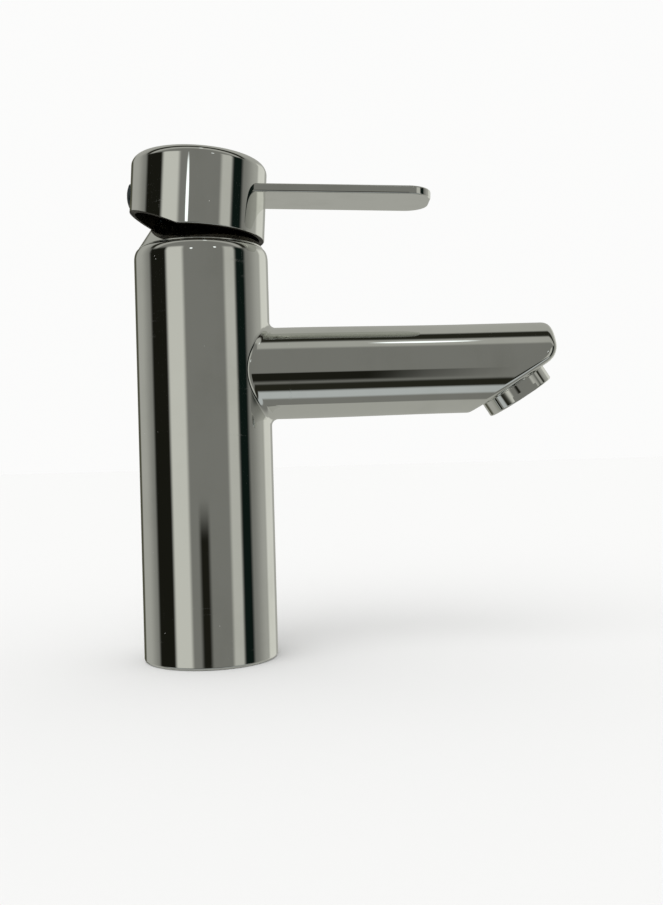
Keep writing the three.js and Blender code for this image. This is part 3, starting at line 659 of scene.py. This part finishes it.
bodyHigh = boxOf("body")[1]
casting = {
    "radius": bodyHigh.y, "height": bodyHigh.z, "reach": bodyHigh.x,
    "baseRound": 0.9, "shoulderInset": 1.3, "shoulderDrop": 3.4,
    "spoutAxis": 95.4, "rootRadius": 15.5, "tipRadius": 15.0, "taperFrom": 27.0, "taperTo": 88.0,
    "fillet": 2.2, "edgeRound": 2.8, "noseRound": 3.6, "noseFoot": 6.9,
    "cutAngle": 32, "outlet": (104.65, 89.7),
    "faceAngle": 60, "faceHalf": 29.4,  # the part of the column's side that the spout grows from
    "columns": 40, "rows": 48,
}


def spoutRadius(x):
    s = np.clip((x - casting["taperFrom"]) / (casting["taperTo"] - casting["taperFrom"]), 0, 1)
    drop = casting["rootRadius"] - casting["tipRadius"]
    span = casting["taperTo"] - casting["taperFrom"]
    return casting["rootRadius"] - drop * s * s * (3 - 2 * s), -drop * 6 * s * (1 - s) / span


def endOfSpout(z):
    # a ball rolled round the end's edge: its centre's x at height z, and the way it touches the end
    a = math.radians(casting["cutAngle"])
    turn = math.pi / 2 - a
    outX, outZ = casting["outlet"]
    edge, reach = casting["edgeRound"], casting["reach"]
    topRound, footRound = casting["noseRound"] - edge, casting["noseFoot"] - edge
    topZ = casting["spoutAxis"] + casting["tipRadius"] - casting["noseRound"]
    footZ = outZ + (reach - outX) * math.tan(a) + casting["noseFoot"] * math.tan(turn / 2)
    if z > topZ:
        s = min((z - topZ) / topRound, 1)
        c = math.sqrt(1 - s * s)
        return reach - casting["noseRound"] + topRound * c, c, s
    if z >= footZ:
        return reach - edge, 1.0, 0.0
    s = (footZ - z) / footRound
    if s < math.sin(turn):
        c = math.sqrt(1 - s * s)
        return reach - casting["noseFoot"] + footRound * c, c, -s
    x = outX + (z - edge * math.cos(a) - outZ) / math.tan(a) - edge * math.sin(a)
    return x, math.sin(a), -math.cos(a)


def bodySkin():
    radius, axis, fillet = casting["radius"], casting["spoutAxis"], casting["fillet"]
    half = math.radians(casting["faceAngle"])
    low, high = axis - casting["faceHalf"], axis + casting["faceHalf"]
    frontAngles = np.linspace(-half, half, casting["columns"] + 1)
    faceRows = np.linspace(low, high, casting["rows"] + 1)
    backAngles = np.linspace(half, 2 * math.pi - half, 97)
    base, drop = casting["baseRound"], casting["shoulderDrop"]
    top = casting["height"] - drop
    lowRows = np.linspace(base, low, 6)
    highRows = np.linspace(high, top, 4)

    def side(angles, rows):
        a, z = np.meshgrid(angles, rows)
        out = np.stack([np.cos(a), np.sin(a), 0 * a], -1)
        return patch(out * radius + np.stack([0 * a, 0 * a, z], -1), out)

    patches = [side(frontAngles, lowRows), side(frontAngles, highRows)]
    patches.append(side(backAngles, np.concatenate([lowRows[:-1], faceRows, highRows[1:]])))

    # foot and shoulder roundings, all the way round
    angles = np.concatenate([frontAngles, backAngles[1:]])
    steps = np.linspace(0, math.pi / 2, 9)
    inset = casting["shoulderInset"]
    foot = []
    for t in steps:
        out, down = math.sin(t), math.cos(t)
        foot.append((radius - base + base * out, base - base * down, out, -down))
    shoulder = []
    for t in steps:
        way = Vector((math.cos(t) / inset, math.sin(t) / drop)).normalized()
        shoulder.append((radius - inset + inset * math.cos(t), top + drop * math.sin(t), way.x, way.y))
    patches += lathe([foot, shoulder], angles)
    ring = np.stack([np.cos(angles[:-1]), np.sin(angles[:-1])], -1)
    for r, z, up in ((radius - base, 0, -1), (radius - inset, casting["height"], 1)):
        patches.append(flatFace(np.column_stack([ring * r, np.full(len(ring), z)]), (0, 0, up)))

    # the spout's rays, one to each point on the edge of the face
    edge = [(half, z) for z in faceRows[:-1]] + [(a, high) for a in frontAngles[:0:-1]]
    edge += [(-half, z) for z in faceRows[:0:-1]] + [(a, low) for a in frontAngles[:-1]]
    edge = np.array(edge + edge[:1])
    ray = np.arctan2(edge[:, 1] - axis, edge[:, 0] * radius)
    c, s = np.cos(ray), np.sin(ray)
    cross = casting["rootRadius"] + fillet
    centre = np.stack([np.sqrt((radius + fillet) ** 2 - (cross * c) ** 2), cross * c, axis + cross * s], -1)
    toBody = np.stack([-centre[:, 0], -centre[:, 1], 0 * c], -1) / (radius + fillet)
    toSpout = np.stack([0 * c, -c, -s], -1)
    opening = np.arccos((toBody * toSpout).sum(1))[:, None]
    rows, ways = [], []
    for t in np.linspace(0, 1, 15):
        way = (toBody * np.sin((1 - t) * opening) + toSpout * np.sin(t * opening)) / np.sin(opening)
        rows.append(centre + way * fillet)
        ways.append(-way)
    patches.append(patch(rows, ways))

    # the column's side between the fillet and the edge of the face
    start = np.stack([np.arcsin(rows[0][:, 1] / radius), rows[0][:, 2]], -1)
    spots = [start + (edge - start) * t ** 1.3 for t in np.linspace(0, 1, 12)]
    angle, z = np.array(spots)[..., 0], np.array(spots)[..., 1]
    out = np.stack([np.cos(angle), np.sin(angle), 0 * angle], -1)
    patches.append(patch(out * radius + np.stack([0 * z, 0 * z, z], -1), out))

    # the spout's skin, out to where its end begins to round
    edgeRound, tip = casting["edgeRound"], casting["tipRadius"]
    inner = tip - edgeRound
    ends = np.array([endOfSpout(axis + inner * math.sin(t)) for t in ray])
    rows, ways = [], []
    for t in np.linspace(0, 1, 61):
        x = centre[:, 0] + (ends[:, 0] - centre[:, 0]) * t
        r, slope = spoutRadius(x)
        rows.append(np.stack([x, r * c, axis + r * s], -1))
        way = np.stack([-slope, c, s], -1)
        ways.append(way / np.linalg.norm(way, axis=1)[:, None])
    patches.append(patch(rows, ways))

    # the rounded edge, and the end face drawn straight across between its two sides
    ball = np.stack([ends[:, 0], inner * c, axis + inner * s], -1)
    outward = np.stack([0 * c, c, s], -1)
    endward = np.stack([ends[:, 1], 0 * c, ends[:, 2]], -1)
    rows, ways = [], []
    for t in np.linspace(0, 1, 15):
        way = outward * (1 - t) + endward * t
        way /= np.linalg.norm(way, axis=1)[:, None]
        rows.append(ball + way * edgeRound)
        ways.append(way)
    patches.append(patch(rows, ways))
    last = rows[-1][:-1]
    right = [i for i in np.argsort(s[:-1]) if c[i] > -1e-9]
    across = np.array([[last[i], last[i] * (1, -1, 1)] for i in right])
    patches.append(patch(across, np.array([[endward[i]] * 2 for i in right])))
    return patches


underside = {
    "sealOuter": 20.75, "sealInner": 17.75, "sealDepth": 2.3,
    "inlets": [(-4, -8.5), (-4, 8.5)], "inletRadius": 4.5, "inletDepth": 12, "passageRadius": 3.6,
    "stud": (11.5, 0), "studRadius": 3.4, "studDepth": 10,
}
cartridgeWell = {
    "bore": 17.8, "seat": 112, "threadBore": 19.2, "threadFrom": 131.8, "outletPort": (7.5, 0, 4.2),
    "wall": 1.7, "outletBore": 11.6, "outletDepth": 14.1, "skin": 0.02,
}
aeratorPlace = (Matrix.Translation((casting["outlet"][0], 0, casting["outlet"][1]))
                @ turnAboutY(-casting["cutAngle"]))


def bodyTools():
    tools = [
        rod(cartridgeWell["bore"], cartridgeWell["seat"], casting["height"] + 1),
        rod(cartridgeWell["threadBore"], cartridgeWell["threadFrom"], casting["height"] + 1),
        moved(rod(11.5, -6, 9.8), aeratorPlace), moved(rod(9.5, 0, 14), aeratorPlace),
    ]
    seat, depth = cartridgeWell["seat"], underside["inletDepth"]
    for x, y in underside["inlets"]:
        tools.append(rod(underside["inletRadius"], -1, depth, x, y))
        tools.append(rod(underside["passageRadius"], depth - 1, seat + 1, x, y))
    x, y, r = cartridgeWell["outletPort"]
    tools.append(rod(r, seat - 12, seat + 1, x, y))
    tools.append(rod(underside["studRadius"], -1, underside["studDepth"], *underside["stud"]))
    groove = [(underside["sealInner"], -1), (underside["sealOuter"], -1),
              (underside["sealOuter"], underside["sealDepth"], 0.4),
              (underside["sealInner"], underside["sealDepth"], 0.4)]
    tools.append(makeSolid("tool", lathe(roundedOutline(groove))))
    return tools


def isBore(middle, normal):
    # walls and floors of the wells, and of the outlet's bore
    local = aeratorPlace.inverted() @ middle
    skin = cartridgeWell["skin"]
    inOutlet = math.hypot(local.x, local.y) < cartridgeWell["outletBore"]
    outletBore = inOutlet and skin < local.z < cartridgeWell["outletDepth"]
    well = math.hypot(middle.x, middle.y) < casting["radius"] - cartridgeWell["wall"]
    return outletBore or (well and skin < middle.z < casting["height"] - skin)


castBody = setNormals(combine(makeSolid("castBody", bodySkin()), bodyTools()))
# the wells and the outlet's bore take the near-black inner finish: unplated metal, with painted shade
# darkening the inside of the bores
finish(castBody, "chrome_body", "body", "body", inner="raw_casting_painted_shade", isInner=isBore)
print("body casting done")


# ---- Foot seal, bonnet and aerator ----

sealHigh = boxOf("base_seal")[1]
footSealSizes = {"outer": sealHigh.x, "inner": sealHigh.x - 2.4, "high": sealHigh.z, "round": 0.7}


def makeFootSeal(sizes):
    inner, outer, high, edge = (sizes[k] for k in ("inner", "outer", "high", "round"))
    outline = [(inner, 0, edge), (outer, 0, edge), (outer, high, edge), (inner, high, edge)]
    seal = setNormals(makeSolid("footSeal", lathe(roundedOutline(outline))))
    finish(seal, "rubber", "body", "base_seal")


makeFootSeal(footSealSizes)

bonnetLow, bonnetHigh = boxOf("bonnet")
bonnetSizes = {
    "radius": bonnetHigh.x, "low": bonnetLow.z, "high": bonnetHigh.z, "cone": 33, "shoulder": 1.4,
    "skirt": 16.8, "skirtTop": 141.9, "rim": 13.4, "hole": 11.5, "wall": 1.9,
}


def makeBonnet(sizes):
    perRise = math.tan(math.radians(sizes["cone"]))
    shoulder = sizes["high"] - sizes["shoulder"]
    atShoulder = sizes["radius"] - (shoulder - sizes["low"]) * perRise
    inside = sizes["high"] - sizes["wall"]
    outline = [
        (sizes["skirt"], sizes["low"], 0.2), (sizes["radius"], sizes["low"], 0.25),
        (atShoulder, shoulder, 1.6), (atShoulder - 0.9, sizes["high"] - 0.5, 0.9),
        (sizes["rim"], sizes["high"], 0.6), (sizes["hole"], sizes["high"], 0.3),
        (sizes["hole"], inside, 0.2), (sizes["hole"] + 2.1, inside, 0.4),
        (sizes["skirt"], sizes["skirtTop"], 0.3)]
    bonnet = setNormals(makeSolid("bonnetCover", lathe(roundedOutline(outline), segments=192)))
    finish(bonnet, "chrome_bonnet", "body", "bonnet")


makeBonnet(bonnetSizes)

aerator = {
    "collar": 11.9, "collarFrom": -5.3, "collarTo": -0.3, "thread": 11.2, "threadTo": 7.5,
    "pitch": 1.0, "threadDepth": 0.45, "bore": 9.6, "lip": 0.9, "flatDepth": 0.9, "flatHeight": 2.0,
    "screenRadius": 8.0, "screenFrom": -4.1, "screenThick": 1.0, "screenPitch": 2.6, "screenBar": 0.6,
}


def makeAeratorHousing(sizes):
    low, lipTop = sizes["collarFrom"], sizes["collarFrom"] + sizes["lip"]
    thread, depth, pitch = sizes["thread"], sizes["threadDepth"], sizes["pitch"]
    outline = [(sizes["bore"] - sizes["lip"], low, 0.25), (sizes["collar"], low, 0.5),
               (sizes["collar"], sizes["collarTo"], 0.2), (thread - depth, sizes["collarTo"])]
    for i in range(6):
        foot = 0.5 + i * pitch
        outline += [(thread - depth, foot), (thread, foot + pitch / 2, 0.06), (thread - depth, foot + pitch)]
    outline += [(thread - depth, sizes["threadTo"], 0.3), (sizes["bore"], sizes["threadTo"], 0.2),
                (sizes["bore"], lipTop), (sizes["bore"] - sizes["lip"], lipTop, 0.2)]
    clean = [outline[0]]
    for corner in outline[1:]:
        if math.hypot(corner[0] - clean[-1][0], corner[1] - clean[-1][1]) > 1e-6:
            clean.append(corner)
    housing = makeSolid("aeratorHousing", lathe(roundedOutline(clean), segments=160))
    reach = sizes["collar"]
    flats = []
    for side in (-1, 1):
        near, far = sorted((side * (reach - sizes["flatDepth"]), side * (reach + 1)))
        flats.append(block((-reach, near, low - 1), (reach, far, low + sizes["flatHeight"])))
    housing = setNormals(moved(combine(housing, flats), aeratorPlace))
    finish(housing, "chrome_aerator", "body", "aerator_housing")


makeAeratorHousing(aerator)


def screenTree():
    # a disc with square windows, as many as its rim leaves room for
    tree = bpy.data.node_groups.new("outletLattice", "GeometryNodeTree")
    tree.is_modifier = True
    for label in ("Radius", "Thickness", "Pitch", "Bar"):
        tree.interface.new_socket(label, in_out="INPUT", socket_type="NodeSocketFloat")
    tree.interface.new_socket("Finish", in_out="INPUT", socket_type="NodeSocketMaterial")
    tree.interface.new_socket("Geometry", in_out="OUTPUT", socket_type="NodeSocketGeometry")
    given = add(tree, "NodeGroupInput").outputs
    disc = add(tree, "GeometryNodeMeshCylinder", fill_type="NGON")
    feed(tree, disc, "Vertices", 96)
    feed(tree, disc, "Radius", given["Radius"])
    feed(tree, disc, "Depth", given["Thickness"])
    window = add(tree, "GeometryNodeMeshCube")
    wide = sums(tree, "SUBTRACT", given["Pitch"], given["Bar"])
    size = add(tree, "ShaderNodeCombineXYZ")
    for i, value in enumerate((wide, wide, sums(tree, "MULTIPLY", given["Thickness"], 3.0))):
        feed(tree, size, i, value)
    feed(tree, window, "Size", size.outputs[0])
    count = 7
    grid = add(tree, "GeometryNodeMeshGrid")
    span = sums(tree, "MULTIPLY", given["Pitch"], count - 1.0)
    for socket, value in (("Size X", span), ("Size Y", span), ("Vertices X", count), ("Vertices Y", count)):
        feed(tree, grid, socket, value)
    spot = add(tree, "ShaderNodeSeparateXYZ")
    feed(tree, spot, 0, add(tree, "GeometryNodeInputPosition").outputs[0])
    halfWide = sums(tree, "MULTIPLY", wide, 0.5)
    farX = sums(tree, "ADD", sums(tree, "ABSOLUTE", spot.outputs[0]), halfWide)
    farY = sums(tree, "ADD", sums(tree, "ABSOLUTE", spot.outputs[1]), halfWide)
    squares = sums(tree, "ADD", sums(tree, "POWER", farX, 2.0), sums(tree, "POWER", farY, 2.0))
    corner = sums(tree, "SQRT", squares)
    room = sums(tree, "SUBTRACT", given["Radius"], given["Bar"])
    fits = sums(tree, "LESS_THAN", corner, room)
    cuts = add(tree, "GeometryNodeInstanceOnPoints")
    feed(tree, cuts, "Points", grid.outputs["Mesh"])
    feed(tree, cuts, "Selection", fits)
    feed(tree, cuts, "Instance", window.outputs["Mesh"])
    real = add(tree, "GeometryNodeRealizeInstances")
    feed(tree, real, 0, cuts.outputs[0])
    cut = add(tree, "GeometryNodeMeshBoolean", operation="DIFFERENCE")
    feed(tree, cut, "Mesh 1", disc.outputs["Mesh"])
    feed(tree, cut, "Mesh 2", real.outputs[0])
    whole = add(tree, "GeometryNodeRealizeInstances")
    feed(tree, whole, 0, cut.outputs["Mesh"])
    dressed = add(tree, "GeometryNodeSetMaterial")
    feed(tree, dressed, "Geometry", whole.outputs[0])
    feed(tree, dressed, "Material", given["Finish"])
    feed(tree, add(tree, "NodeGroupOutput"), 0, dressed.outputs[0])
    return tree


def makeScreen(sizes):
    tree = screenTree()
    holder = bpy.data.objects.new("outletScreen", bpy.data.meshes.new("outletScreen"))
    bpy.context.scene.collection.objects.link(holder)
    maker = holder.modifiers.new("lattice", "NODES")
    maker.node_group = tree
    values = {"Radius": sizes["screenRadius"] * mm, "Thickness": sizes["screenThick"] * mm,
              "Pitch": sizes["screenPitch"] * mm, "Bar": sizes["screenBar"] * mm,
              "Finish": finishes["grey_plastic"]}
    for item in tree.interface.items_tree:
        if item.in_out == "INPUT":
            maker[item.identifier] = values[item.name]
    view = bpy.context.evaluated_depsgraph_get()
    mesh = bpy.data.meshes.new_from_object(holder.evaluated_get(view), depsgraph=view)
    holder.modifiers.clear()
    holder.data = mesh
    mesh.name = "outletScreen"
    middle = sizes["screenFrom"] + sizes["screenThick"] / 2
    shift = aeratorPlace @ Matrix.Translation((0, 0, middle))
    shift.translation *= mm
    mesh.transform(shift)
    bevel = holder.modifiers.new("softEdges", "BEVEL")
    bevel.width = 0.08 * mm
    bevel.segments = 2
    bevel.limit_method = "ANGLE"
    finish(holder, "grey_plastic", "body", "aerator_screen")


makeScreen(aerator)
print("bonnet, seal and aerator done")


# ---- Lever handle and its plug, in a frame at the pivot that leans forward ----

lift = next(joint for joint in frame["joints"] if joint["name"] == "lever_lift")
pivot = Vector(lift["pos_m"]) / mm
lever = {
    "lean": 3.65, "capSetback": 1.62, "capRadius": 22.8, "capRim": 5.0, "capTop": 30.66, "capWall": 1.8,
    "capRound": 3.2, "ceiling": 26.46, "relief": 20.5, "reliefFrom": 3.5,
    "bossRadius": 9.0, "bossFootRadius": 6.6, "bossFoot": 15.4, "bossTaper": 2.6,
    "socket": 4.3, "stemTop": 24.8,
    "bladeWidth": 23.0, "bladeThick": 2.9, "bladeReach": 76.9, "bladeRise": 1.41, "bladeLevel": 19.7,
    "bladeCorner": 8.0, "bladeEdge": 0.65,
    "screwLevel": 18.4, "screwHole": 2.8, "plugSeat": 4.5, "plugSeatDepth": 0.8,
}
leverPlace = Matrix.Translation(pivot) @ turnAboutY(lever["lean"])


def makeHandle(sizes):
    back, wall = sizes["capSetback"], sizes["capWall"]
    radius, rim, top = sizes["capRadius"], sizes["capRim"], sizes["capTop"]
    ceiling = sizes["ceiling"]
    shell = [(0, ceiling), (radius - wall, ceiling, 2.0), (radius - wall, rim, 0.3),
             (radius, rim, 0.35), (radius, top, sizes["capRound"]), (0, top)]
    handle = makeSolid("leverHandle", lathe(roundedOutline(shell, closed=False, steps=14), segments=256),
                       Matrix.Translation((-back, 0, 0)))
    half, root = sizes["bladeWidth"] / 2, 9.8
    corner = sizes["bladeCorner"]
    plan = [(root, -half, 1.0), (sizes["bladeReach"], -half, corner), (sizes["bladeReach"], half, corner),
            (root, half, 1.0)]
    blade = makeSolid("tool", slab(plan, sizes["bladeThick"], sizes["bladeEdge"]),
                      Matrix.Translation((0, 0, sizes["bladeLevel"])) @ turnAboutY(-sizes["bladeRise"]))
    boss = [(0, sizes["bossFoot"]), (sizes["bossFootRadius"], sizes["bossFoot"], 0.4),
            (sizes["bossRadius"], sizes["bossFoot"] + sizes["bossTaper"], 0.6),
            (sizes["bossRadius"], sizes["ceiling"] + 1), (0, sizes["ceiling"] + 1)]
    combine(handle, [blade, makeSolid("tool", lathe(roundedOutline(boss, closed=False)))], "UNION")
    relief = block((-4 * radius, -2 * radius, -2 * radius), (0, 2 * radius, 0))
    moved(relief, Matrix.Translation((-back - sizes["reliefFrom"], 0, sizes["capRim"]))
          @ turnAboutY(sizes["relief"]))
    socket = block((-sizes["socket"], -sizes["socket"], sizes["bossFoot"] - 1),
                   (sizes["socket"], sizes["socket"], sizes["stemTop"]))
    alongX = Matrix.Translation((0, 0, sizes["screwLevel"])) @ Matrix.Rotation(math.pi / 2, 4, "Y")
    capBack = -back - radius
    screwHole = moved(rod(sizes["screwHole"], capBack - 1, 0), alongX)
    plugSeat = moved(rod(sizes["plugSeat"], capBack - 1, capBack + sizes["plugSeatDepth"]), alongX)
    combine(handle, [relief, socket, screwHole, plugSeat])
    setNormals(moved(handle, leverPlace))
    toLocal = leverPlace.inverted()

    def isHollow(middle, normal):
        spot = toLocal @ middle
        inside = math.hypot(spot.x + back, spot.y) < radius - 0.2 and spot.z < sizes["ceiling"] + 0.1
        return inside and (toLocal.to_3x3() @ normal).z < 0.9

    # the inside of the cap takes the near-black inner finish: unplated metal, with painted shade darkening the
    # hollow under the cap
    finish(handle, "chrome_handle", "lever", "handle", inner="raw_casting_painted_shade", isInner=isHollow)


makeHandle(lever)


def makePlug(sizes):
    back = sizes["capSetback"] + sizes["capRadius"]
    face = back - sizes["plugSeatDepth"] + 0.3
    outline = [(0, face - 2.4), (2.6, face - 2.4, 0.3), (2.6, face), (4.2, face, 0.15),
               (4.2, back + 0.45, 0.5), (2.4, back + 1.1, 4.0), (0, back + 1.1)]
    outward = Matrix.Translation((0, 0, sizes["screwLevel"])) @ Matrix.Rotation(-math.pi / 2, 4, "Y")
    section = roundedOutline(outline, closed=False, steps=10)
    plug = makeSolid("indexPlug", lathe(section, segments=96), outward)
    setNormals(moved(plug, leverPlace))
    finish(plug, "plug_plastic", "lever", "index_plug")


makePlug(lever)
print("handle and plug done")


# ---- Inner pieces keep their CAD shapes ----

replaced = {"body", "base_seal", "bonnet", "handle", "index_plug", "aerator_housing", "aerator_screen"}
for name, node in frame["nodes"].items():
    if name in replaced:
        continue
    for i, material in enumerate(node.data.materials):
        node.data.materials[i] = finishes[material.name.split(".")[0]]
print("inner pieces finished")
